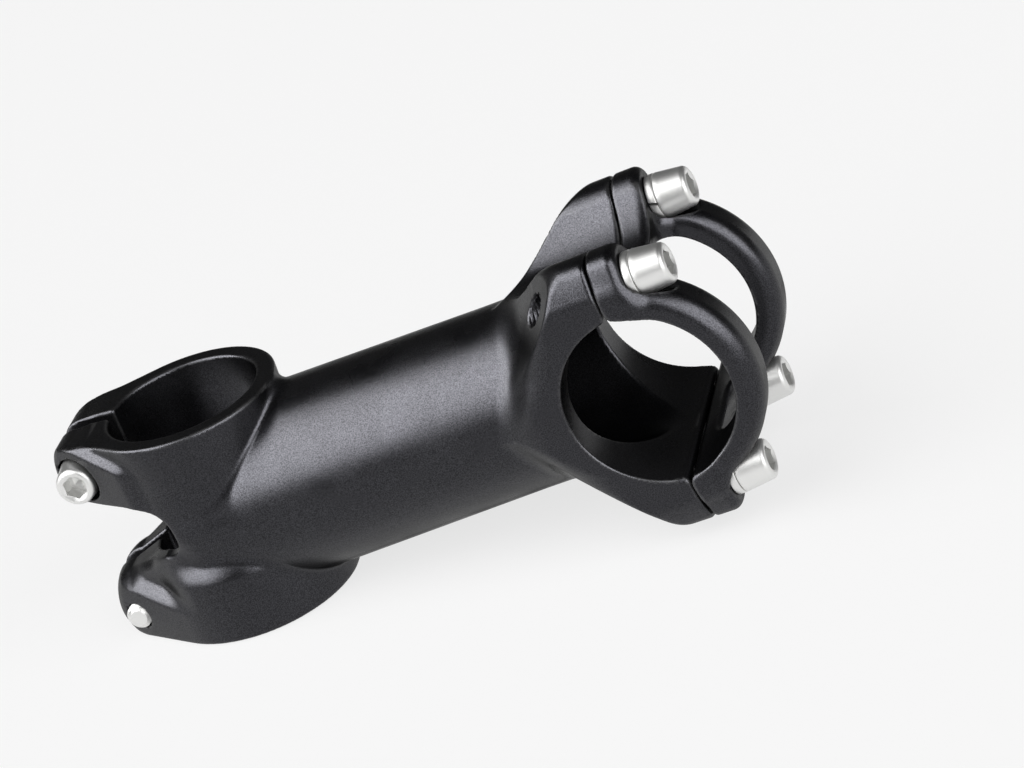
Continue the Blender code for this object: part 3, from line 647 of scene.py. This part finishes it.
def socket_cutters():
    """What a socket is cut with: six flats over a drilled, pointed bottom, and a wide mouth."""
    head = HEAD_HEIGHT
    bottom = head - 3.2 * MM
    corner = 4 * MM / math.sqrt(3)
    shape = bmesh.new()
    rings = []
    for radius, z in ((corner, head + 1 * MM), (corner, bottom), (1.5 * MM, bottom - 0.02 * MM)):
        rings.append([shape.verts.new((radius * math.cos(turn), radius * math.sin(turn), z))
                      for turn in (k * math.pi / 3 for k in range(6))])
    point = shape.verts.new((0, 0, bottom - 0.9 * MM))
    shape.faces.new(rings[0])
    for upper, lower in zip(rings, rings[1:]):
        for i in range(6):
            j = (i + 1) % 6
            shape.faces.new((upper[j], upper[i], lower[i], lower[j]))
    for i in range(6):
        shape.faces.new((rings[-1][(i + 1) % 6], rings[-1][i], point))
    bmesh.ops.recalc_face_normals(shape, faces=shape.faces)
    mesh = bpy.data.meshes.new("socket_cutter")
    shape.to_mesh(mesh)
    shape.free()
    hexagon = link("socket_cutter", mesh)
    mouth_rows = [(1.4 * MM, head - 0.75 * MM), (SOCKET_MOUTH, head + 0.05 * MM),
                  (SOCKET_MOUTH, head + 0.5 * MM)]
    return hexagon, link("mouth_cutter", lathe("mouth_cutter", mouth_rows, 72))


def socket_bolt(shank_length):
    """One whole bolt's mesh, which every bolt of its length has a copy of."""
    bolt = link("bolt_pattern", bolt_mesh("bolt_pattern", shank_length))
    cutters = socket_cutters()
    for cutter in cutters:
        cut = bolt.modifiers.new(cutter.name, "BOOLEAN")
        cut.operation = "DIFFERENCE"
        cut.solver = "EXACT"
        cut.object = cutter
    apply_modifiers(bolt)
    mesh = bolt.data
    mesh.shade_smooth()
    mesh.set_sharp_from_angle(angle=math.radians(32))
    for unwanted in (bolt, *cutters):
        bpy.data.objects.remove(unwanted, do_unlink=True)
    return mesh


def washer_mesh(name):
    """A split lock washer about Z, resting at z = 0: a squared wire, cut on a slant."""
    inner, outer, thick = 2.8 * MM, 4.25 * MM, 1.42 * MM
    corner = 0.2 * MM
    gap, slant = math.radians(7.0), math.radians(6.5)
    right_angle = math.pi / 2
    section = []
    for quarter, centre in enumerate((
            (outer - corner, thick - corner), (inner + corner, thick - corner),
            (inner + corner, corner), (outer - corner, corner))):
        section += ellipse_arc(centre, (corner, corner),
                               quarter * right_angle, (quarter + 1) * right_angle, 3)
    steps = 72
    points = []
    for i in range(steps + 1):
        along = i / steps
        for radius, z in section:
            lean = slant * (z / thick - 0.5)
            angle = gap / 2 + lean + (2 * math.pi - gap) * along
            points.append((radius * math.cos(angle), radius * math.sin(angle), z))
    around = len(section)
    faces = ring_faces(steps + 1, around)
    faces.append(tuple(range(around)))
    faces.append(tuple(reversed(range(steps * around, (steps + 1) * around))))
    mesh = mesh_from_lists(name, points, faces)
    shape = bmesh.new()
    shape.from_mesh(mesh)
    bmesh.ops.recalc_face_normals(shape, faces=shape.faces)
    shape.to_mesh(mesh)
    shape.free()
    mesh.shade_smooth()
    mesh.set_sharp_from_angle(angle=math.radians(50))
    return mesh


def ear_threads_mesh(name, s):
    """The tapped threads that show in the four ears' holes, behind the bolts' ends."""
    sides, pitch, minor = 48, THREAD_PITCH, 2.08 * MM
    wall = s.tapped_radius + 0.06 * MM
    angles = np.linspace(0, 2 * math.pi, sides, endpoint=False)
    lean = s.ear_back_out * np.cos(angles) + s.ear_back_up * np.sin(angles)
    mouth = s.ear_back + s.ear_back_out * (s.ear_y - s.half_width) + wall * lean + 0.25 * MM
    inner_end = s.tapped_end - 0.2 * MM
    points, faces = [], []
    for sign_y, sign_n in itertools.product((-1, 1), repeat=2):
        hand = sign_y * sign_n
        rows = [(np.full(sides, wall), np.full(sides, inner_end))]
        for part in np.linspace(0, 1, 73):
            along = inner_end + part * (mouth - inner_end)
            phase = (along / pitch + hand * angles / (2 * math.pi)) % 1.0
            ridge = 1 - np.abs(2 * phase - 1)
            depth = (wall - minor) * np.clip(1.5 * ridge - 0.2, 0, 1)
            fade = smooth_step((along - mouth) / (0.6 * pitch))
            rows.append((wall - depth * fade, along))
        rows.append((np.full(sides, wall), mouth))
        start = len(points)
        for radius, along in rows:
            y = sign_y * (s.ear_y + radius * np.cos(angles))
            n = sign_n * (s.ear_z + radius * np.sin(angles))
            u = s.length + along
            points += np.stack([u * s.cos - n * s.sin, y, u * s.sin + n * s.cos], 1).tolist()
        for quad in ring_faces(len(rows), sides):
            faces.append(tuple(start + k for k in (quad if hand > 0 else quad[::-1])))
    mesh = mesh_from_lists(name, points, faces)
    mesh.shade_smooth()
    return mesh


def node_material(name):
    """A new material, its node tree and its shader."""
    material = bpy.data.materials.new(name)
    material.use_nodes = True
    tree = material.node_tree
    return material, tree, tree.nodes["Principled BSDF"]


def add_node(tree, kind, values=None, links=None, **settings):
    """A new node, with its settings, its inputs' values and the outputs that feed its inputs."""
    node = tree.nodes.new(kind)
    for key, value in settings.items():
        setattr(node, key, value)
    for key, value in (values or {}).items():
        node.inputs[key].default_value = value
    for key, source in (links or {}).items():
        tree.links.new(source, node.inputs[key])
    return node


def object_place(tree):
    """Where a point lies in its own piece, so that the grain rides with the piece."""
    return add_node(tree, "ShaderNodeTexCoord").outputs["Object"]


def noise(tree, place, scale, detail):
    node = add_node(tree, "ShaderNodeTexNoise", {"Scale": scale, "Detail": detail},
                    {"Vector": place})
    return node.outputs["Fac"]


def ranged(tree, source, old, new):
    """A value carried from one range to another."""
    values = dict(zip(("From Min", "From Max", "To Min", "To Max"), (*old, *new)))
    return add_node(tree, "ShaderNodeMapRange", values, {"Value": source}).outputs["Result"]


def combined(tree, operation, one, other):
    node = add_node(tree, "ShaderNodeMath", None, {0: one, 1: other}, operation=operation)
    return node.outputs["Value"]


def ramp(tree, source, *stops):
    """Two colours, each with its place, that a value runs between."""
    node = add_node(tree, "ShaderNodeValToRGB", None, {"Fac": source})
    for element, (position, tone) in zip(node.color_ramp.elements, stops):
        element.position = position
        element.color = (*np.minimum(tone, 1.0), 1)
    return node.outputs["Color"]


def bumped(tree, shader, height, strength, distance):
    bump = add_node(tree, "ShaderNodeBump", {"Strength": strength, "Distance": distance},
                    {"Height": height})
    tree.links.new(bump.outputs["Normal"], shader.inputs["Normal"])


def satin_black(name, finish):
    """Fine blasted and dyed black skin: bright and dull grains, cloudy gloss, and edges lightened
    partly as rubbed wear, partly as a painted highlight.
    """
    material, tree, shader = node_material(name)
    place = object_place(tree)
    grain = noise(tree, place, scale=4800.0, detail=1.0)
    cloud = noise(tree, place, scale=130.0, detail=2.0)
    black = np.array(finish.black)
    tint = ramp(tree, grain, (0.34, black * 0.5), (0.70, black * 1.8))
    # Sharp edges are lightened to a dark grey: partly rubbed wear, partly a painted edge highlight
    rubbed_and_highlit = add_node(tree, "ShaderNodeAttribute", attribute_name="rubbed_and_highlit").outputs["Fac"]
    wear_and_highlight_amount = combined(tree, "MULTIPLY", rubbed_and_highlit, ranged(tree, cloud, (0.3, 0.7), (0.2, 1.0)))
    factor, first_colour, second_colour, colour_result = 0, 6, 7, 2
    wear_and_edge_highlight = add_node(tree, "ShaderNodeMix", {second_colour: (*finish.wear_and_edge_highlight, 1)},
                    {factor: wear_and_highlight_amount, first_colour: tint}, data_type="RGBA")
    tree.links.new(wear_and_edge_highlight.outputs[colour_result], shader.inputs["Base Color"])
    gloss = ranged(tree, cloud, (0.3, 0.7),
                   (finish.black_roughness - 0.05, finish.black_roughness + 0.05))
    tree.links.new(gloss, shader.inputs["Roughness"])
    # A blasted skin loses its shine where it is seen along its face
    spark = ranged(tree, grain, (0.32, 0.68), (0.28, 0.62))
    tilt = add_node(tree, "ShaderNodeLayerWeight", {"Blend": 0.5}).outputs["Facing"]
    shine = combined(tree, "MULTIPLY", spark, ranged(tree, tilt, (0.45, 0.8), (1.0, 0.05)))
    tree.links.new(shine, shader.inputs["Specular IOR Level"])
    bumped(tree, shader, grain, strength=0.5, distance=0.04 * MM)
    shader.inputs["Specular Tint"].default_value = (0.9, 0.9, 1.0, 1.0)
    return material


def plated_silver(name, base, roughness):
    """Satin silver plating: faint turning lines round the axis, and a fine uneven gloss."""
    material, tree, shader = node_material(name)
    place = object_place(tree)
    squash = add_node(tree, "ShaderNodeMapping", {"Scale": (350.0, 350.0, 9000.0)},
                      {"Vector": place})
    lines = noise(tree, squash.outputs["Vector"], scale=1.0, detail=2.0)
    speck = noise(tree, place, scale=2600.0, detail=3.0)
    silver = np.array(base)
    tint = ramp(tree, speck, (0.3, silver * 0.86), (0.7, silver * 1.08))
    tree.links.new(tint, shader.inputs["Base Color"])
    gloss = ranged(tree, speck, (0.3, 0.7), (roughness - 0.06, roughness + 0.08))
    tree.links.new(gloss, shader.inputs["Roughness"])
    bumped(tree, shader, lines, strength=0.35, distance=0.02 * MM)
    shader.inputs["Metallic"].default_value = 0.75
    return material


def pale_floor(name, tone):
    """Pale paper: faintly mottled, and matt."""
    material, tree, shader = node_material(name)
    mottle = noise(tree, object_place(tree), scale=220.0, detail=3.0)
    paper = np.array(tone)
    tint = ramp(tree, mottle, (0.0, paper * 0.99), (1.0, paper * 1.01))
    tree.links.new(tint, shader.inputs["Base Color"])
    shader.inputs["Roughness"].default_value = 0.9
    shader.inputs["Specular IOR Level"].default_value = 0.2
    # Where it is seen, straight or in a reflection, it is nearly white and its shadow is light
    whiteness = 0.75
    ray = add_node(tree, "ShaderNodeLightPath")
    seen = ray.outputs["Is Camera Ray"]
    for kind in ("Is Glossy Ray", "Is Transmission Ray"):
        seen = combined(tree, "MAXIMUM", seen, ray.outputs[kind])
    lift = add_node(tree, "ShaderNodeMath", {1: whiteness}, {0: seen}, operation="MULTIPLY")
    white = add_node(tree, "ShaderNodeEmission", {"Strength": 1.0})
    mix = add_node(tree, "ShaderNodeMixShader", None,
                   {"Fac": lift.outputs["Value"], 1: shader.outputs["BSDF"],
                    2: white.outputs["Emission"]})
    output = next(node for node in tree.nodes if node.type == "OUTPUT_MATERIAL")
    tree.links.new(mix.outputs["Shader"], output.inputs["Surface"])
    return material


def stem_material(name, make, *values):
    """A finish that several pieces share, made once."""
    return bpy.data.materials.get(name) or make(name, *values)


def place_piece(piece, body, node, material):
    """Finish a piece: its material, the body that it rides on and the node that it stands for."""
    piece.data.materials.clear()
    piece.data.materials.append(material)
    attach(piece, body)
    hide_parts(node)


class STEM_OT_body(bpy.types.Operator):
    """Skin the forged body"""
    bl_idname = "stem.body"
    bl_label = "Body"

    def execute(self, context):
        s = stem_layout()
        step = context.scene.stem_sizes.skin_step
        piece = skinned_piece("forged_body", body_field(s), "stem_body", step, BODY_FACES)
        black = stem_material("satin_black", satin_black, context.scene.stem_finish)
        place_piece(piece, "stem_body", "stem_body", black)
        threads = link("ear_threads", ear_threads_mesh("ear_threads", s))
        place_piece(threads, "stem_body", "stem_body", black)
        return {"FINISHED"}


class STEM_OT_faceplate(bpy.types.Operator):
    """Skin the windowed faceplate"""
    bl_idname = "stem.faceplate"
    bl_label = "Faceplate"

    def execute(self, context):
        step = context.scene.stem_sizes.plate_step
        piece = skinned_piece("windowed_faceplate", faceplate_field(stem_layout()), "faceplate",
                              step, FACEPLATE_FACES)
        black = stem_material("satin_black", satin_black, context.scene.stem_finish)
        place_piece(piece, "faceplate", "faceplate", black)
        return {"FINISHED"}


def faceplate_stations(s):
    """Each faceplate bolt's name, the point of its axis beside the bar's axis, and its axis."""
    axis = Vector((s.cos, 0, s.sin))
    up = Vector((-s.sin, 0, s.cos))
    for height, sign_z in (("top", 1), ("low", -1)):
        for side, sign_y in (("near", -1), ("far", 1)):
            at = axis * s.length + up * (sign_z * s.ear_z) + Vector((0, sign_y * s.ear_y, 0))
            yield f"{side}_{height}", at, axis


def pinch_stations(s):
    """Each pinch bolt's name, the point of its axis in the slit's middle, and its axis."""
    yield "upper", Vector((s.pinch_x, 0, s.pinch_upper_z)), Vector((0, -1, 0))
    yield "lower", Vector((s.pinch_x, 0, s.pinch_lower_z)), Vector((0, 1, 0))


def stand(piece, at, axis, out, turn):
    """Stand a piece on an axis, out along it, turned about it."""
    upright = axis.to_track_quat("Z", "Y").to_matrix().to_4x4()
    turned = upright @ Matrix.Rotation(turn, 4, "Z")
    piece.matrix_world = Matrix.Translation(at + axis * out) @ turned


class STEM_OT_bolts(bpy.types.Operator):
    """Make the six socket bolts"""
    bl_idname = "stem.bolts"
    bl_label = "Bolts"

    def execute(self, context):
        s = stem_layout()
        finish = context.scene.stem_finish
        silver = stem_material("plated_bolt", plated_silver, finish.silver, finish.silver_roughness)
        turns = {"near_top": 0.35, "far_top": 0.9, "near_low": 0.15, "far_low": 0.6,
                 "upper": 0.5, "lower": 0.2}
        for kind, seat, shank_length, stations in (
                ("faceplate", s.plate_seat, FACEPLATE_BOLT_LENGTH, faceplate_stations(s)),
                ("pinch", s.pinch_seat, PINCH_BOLT_LENGTH, pinch_stations(s))):
            pattern = socket_bolt(shank_length)
            for name, at, axis in stations:
                piece = link(f"{kind}_socket_bolt_{name}", pattern.copy())
                stand(piece, at, axis, seat + HEAD_STANDOFF, turns[name])
                node = f"{kind}_bolt_{name}"
                place_piece(piece, node, node, silver)
            bpy.data.meshes.remove(pattern)
        return {"FINISHED"}


class STEM_OT_washers(bpy.types.Operator):
    """Make the six split lock washers"""
    bl_idname = "stem.washers"
    bl_label = "Washers"

    def execute(self, context):
        s = stem_layout()
        finish = context.scene.stem_finish
        silver = stem_material("plated_washer", plated_silver, finish.washer_silver,
                               finish.washer_roughness)
        turns = {"near_top": 1.2, "far_top": 2.98, "near_low": 0.4, "far_low": 2.0,
                 "upper": 0.0, "lower": 1.0}
        for kind, seat, stations in (("faceplate", s.plate_seat, faceplate_stations(s)),
                                     ("pinch", s.pinch_seat, pinch_stations(s))):
            for name, at, axis in stations:
                node = f"{kind}_washer_{name}"
                piece = link(f"{kind}_split_washer_{name}", washer_mesh(node))
                stand(piece, at, axis, seat + WASHER_STANDOFF, turns[name])
                body = "faceplate" if kind == "faceplate" else node
                place_piece(piece, body, node, silver)
        return {"FINISHED"}


class STEM_OT_stage(bpy.types.Operator):
    """Set the floor, the lights and the camera"""
    bl_idname = "stem.stage"
    bl_label = "Stage"

    def execute(self, context):
        stage = context.scene.stem_stage
        self.add_floor(stage)
        self.add_lights(stage)
        self.add_sky(context, stage)
        self.add_camera(context)
        context.scene.view_settings.view_transform = "Standard"
        return {"FINISHED"}

    def add_floor(self, stage):
        half = 3.0
        level = CAD_BOX[0][2] - 0.1 * MM
        corners = [(-half, -half, level), (half, -half, level),
                   (half, half, level), (-half, half, level)]
        mesh = mesh_from_lists("floor", corners, [(0, 1, 2, 3)])
        floor = link("floor", mesh)
        mesh.materials.append(pale_floor("pale_floor", stage.floor))

    def add_light(self, name, watts, size, azimuth, elevation, distance):
        """A softbox that faces the stem; its azimuth turns from the near side to the bar's."""
        lamp = bpy.data.lights.new(name, "AREA")
        lamp.energy = watts
        lamp.shape = "RECTANGLE"
        lamp.size, lamp.size_y = size
        holder = bpy.data.objects.new(name, lamp)
        turn, rise = math.radians(azimuth), math.radians(elevation)
        away = Vector((math.sin(turn) * math.cos(rise), -math.cos(turn) * math.cos(rise),
                       math.sin(rise)))
        stem_middle = Vector((35 * MM, 0, 5 * MM))
        holder.location = stem_middle + away * distance
        holder.rotation_euler = away.to_track_quat("Z", "Y").to_euler()
        holder.visible_camera = False
        bpy.context.scene.collection.objects.link(holder)
        return holder

    def add_lights(self, stage):
        self.add_light("softbox", stage.key_power, (6.8, 6.8),
                       azimuth=-52, elevation=41, distance=5.0)
        self.add_light("side_softbox", stage.side_power, (3.8, 3.2),
                       azimuth=54, elevation=26, distance=3.5)
        # Cards that only the gloss of the black pieces shows
        black = bpy.data.collections.new("black_pieces")
        for piece in bpy.data.objects:
            if any(slot.name.startswith("satin_black") for slot in piece.material_slots):
                black.objects.link(piece)
        key_card = self.add_light("card", stage.key_card_power, (5.8, 4.4),
                                  azimuth=-57, elevation=41, distance=4.8)
        side_card = self.add_light("side_card", stage.side_card_power, (3.6, 3.2),
                                   azimuth=54, elevation=24, distance=3.3)
        for card in (key_card, side_card):
            card.visible_diffuse = False
            card.light_linking.receiver_collection = black

    def add_sky(self, context, stage):
        world = bpy.data.worlds.new("studio")
        context.scene.world = world
        world.use_nodes = True
        tree = world.node_tree
        light = tree.nodes["Background"]
        light.inputs["Color"].default_value = (1, 1, 1, 1)
        # Light comes from the horizon, and fades to almost none above
        place = add_node(tree, "ShaderNodeTexCoord").outputs["Generated"]
        height = add_node(tree, "ShaderNodeSeparateXYZ", None, {"Vector": place}).outputs["Z"]
        fade = ranged(tree, height, (0.35, 0.7), (stage.sky, stage.sky / 12))
        tree.links.new(fade, light.inputs["Strength"])

    def add_camera(self, context):
        camera = bpy.data.cameras.new("photo_view")
        camera.sensor_width = 36.0
        camera.lens = 113.78
        camera.clip_start = 0.05
        camera.clip_end = 20.0
        holder = bpy.data.objects.new("photo_view", camera)
        right = (0.926311, 0.171494, -0.335467)
        up = (0.217617, 0.483311, 0.847970)
        back = (0.307556, -0.858487, 0.410376)
        at = (0.233785, -0.486460, 0.242489)
        holder.matrix_world = Matrix((*zip(right, up, back, at), (0, 0, 0, 1)))
        context.scene.collection.objects.link(holder)
        context.scene.camera = holder


class STEM_PT_sidebar(bpy.types.Panel):
    """The stem's pieces, sizes and finishes"""
    bl_idname = "STEM_PT_sidebar"
    bl_label = "Handlebar Stem"
    bl_space_type = "VIEW_3D"
    bl_region_type = "UI"
    bl_category = "Stem"

    def draw(self, context):
        layout = self.layout
        for operator in PIECES:
            layout.operator(operator.bl_idname)
        scene = context.scene
        for group in (scene.stem_sizes, scene.stem_finish, scene.stem_stage):
            box = layout.box()
            for key in group.__annotations__:
                box.prop(group, key)


PIECES = (STEM_OT_body, STEM_OT_faceplate, STEM_OT_bolts, STEM_OT_washers, STEM_OT_stage)
CLASSES = (StemSizes, StemFinish, StemStage, *PIECES, STEM_PT_sidebar)


def register():
    for cls in CLASSES:
        bpy.utils.register_class(cls)
    bpy.types.Scene.stem_sizes = bpy.props.PointerProperty(type=StemSizes)
    bpy.types.Scene.stem_finish = bpy.props.PointerProperty(type=StemFinish)
    bpy.types.Scene.stem_stage = bpy.props.PointerProperty(type=StemStage)


def unregister():
    del bpy.types.Scene.stem_sizes
    del bpy.types.Scene.stem_finish
    del bpy.types.Scene.stem_stage
    for cls in reversed(CLASSES):
        bpy.utils.unregister_class(cls)


def main():
    register()
    bpy.ops.stem.body()
    bpy.ops.stem.faceplate()
    bpy.ops.stem.bolts()
    bpy.ops.stem.washers()
    bpy.ops.stem.stage()


if __name__ == "__main__":
    main()
